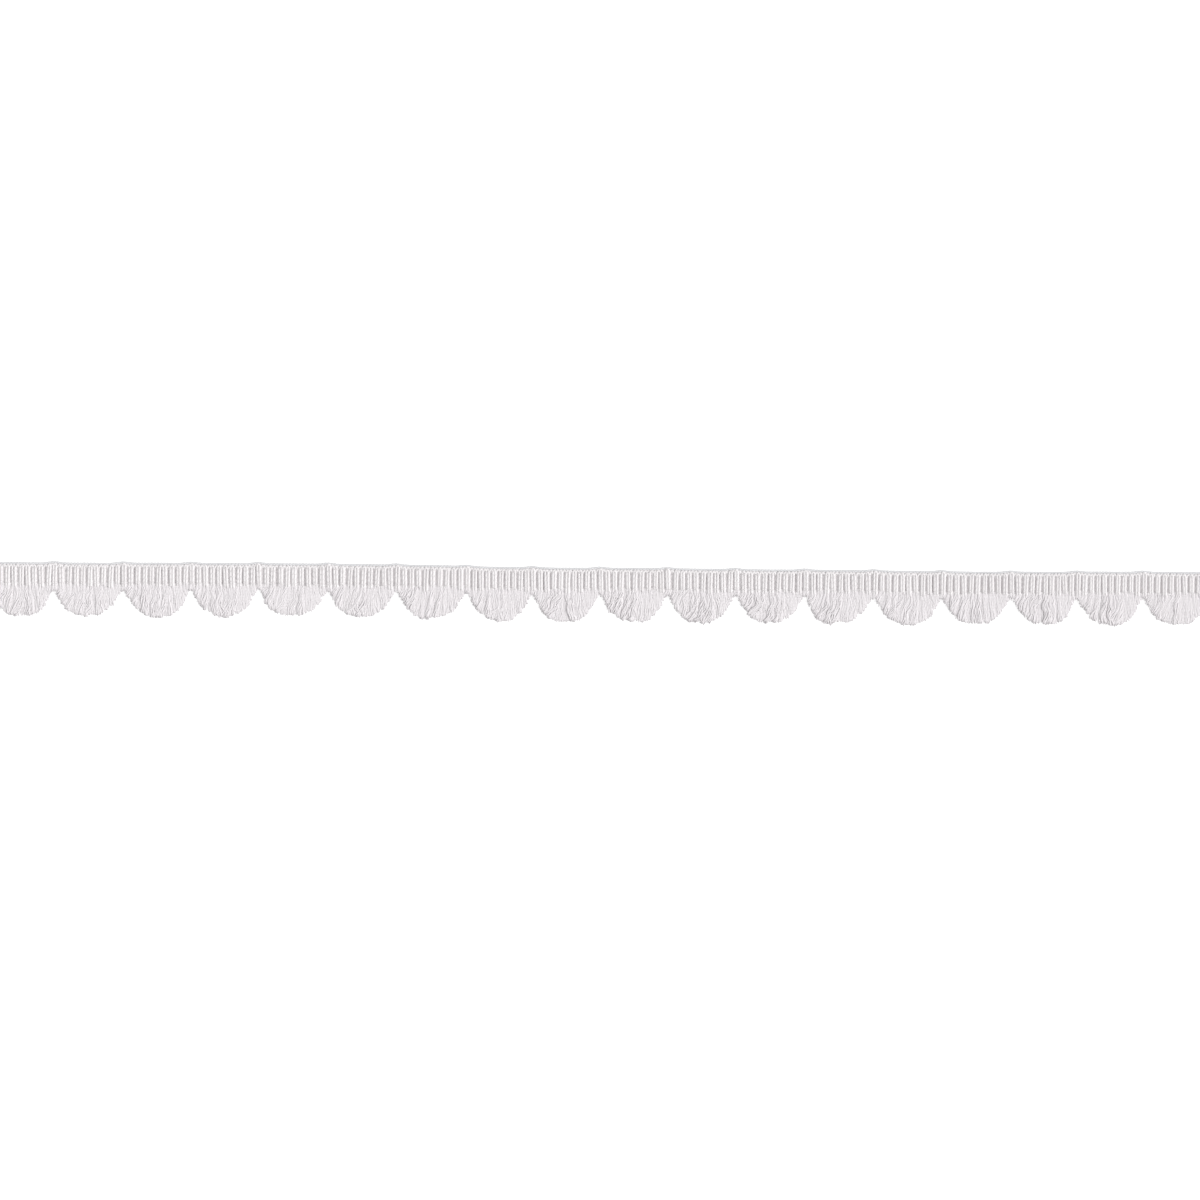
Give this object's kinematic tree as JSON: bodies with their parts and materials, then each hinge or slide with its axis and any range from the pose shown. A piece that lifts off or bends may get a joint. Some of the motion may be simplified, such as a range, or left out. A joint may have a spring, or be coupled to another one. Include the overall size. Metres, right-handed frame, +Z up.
{
  "type": "fan edge trim",
  "caption": "Cut length of white woven fan edge trim: a ribbed heading with a corded upper edge and scalloped fans of cut fringe below, sewn along a hem or cushion edge.",
  "frame": {"origin": "middle of the trim's box, on the surface it lies on", "axes": "+X along the trim, +Y towards its corded upper edge, +Z up out of its face"},
  "size_m": [0.4572, 0.0218, 0.0022],
  "materials": {
    "heading_cotton": "matt ribbed weave",
    "cord_cotton": "matt twisted cord",
    "fringe_cotton": "matt soft yarn"
  },
  "bodies": {
    "root": {"heading": "heading_cotton", "edge_cord": "cord_cotton", "fan_01": "fringe_cotton", "fan_02": "fringe_cotton", "fan_03": "fringe_cotton", "fan_04": "fringe_cotton", "fan_05": "fringe_cotton", "fan_06": "fringe_cotton", "fan_07": "fringe_cotton", "fan_08": "fringe_cotton", "fan_09": "fringe_cotton", "fan_10": "fringe_cotton", "fan_11": "fringe_cotton", "fan_12": "fringe_cotton", "fan_13": "fringe_cotton", "fan_14": "fringe_cotton", "fan_15": "fringe_cotton", "fan_16": "fringe_cotton", "fan_17": "fringe_cotton", "fan_18": "fringe_cotton"}
  },
  "joints": []
}
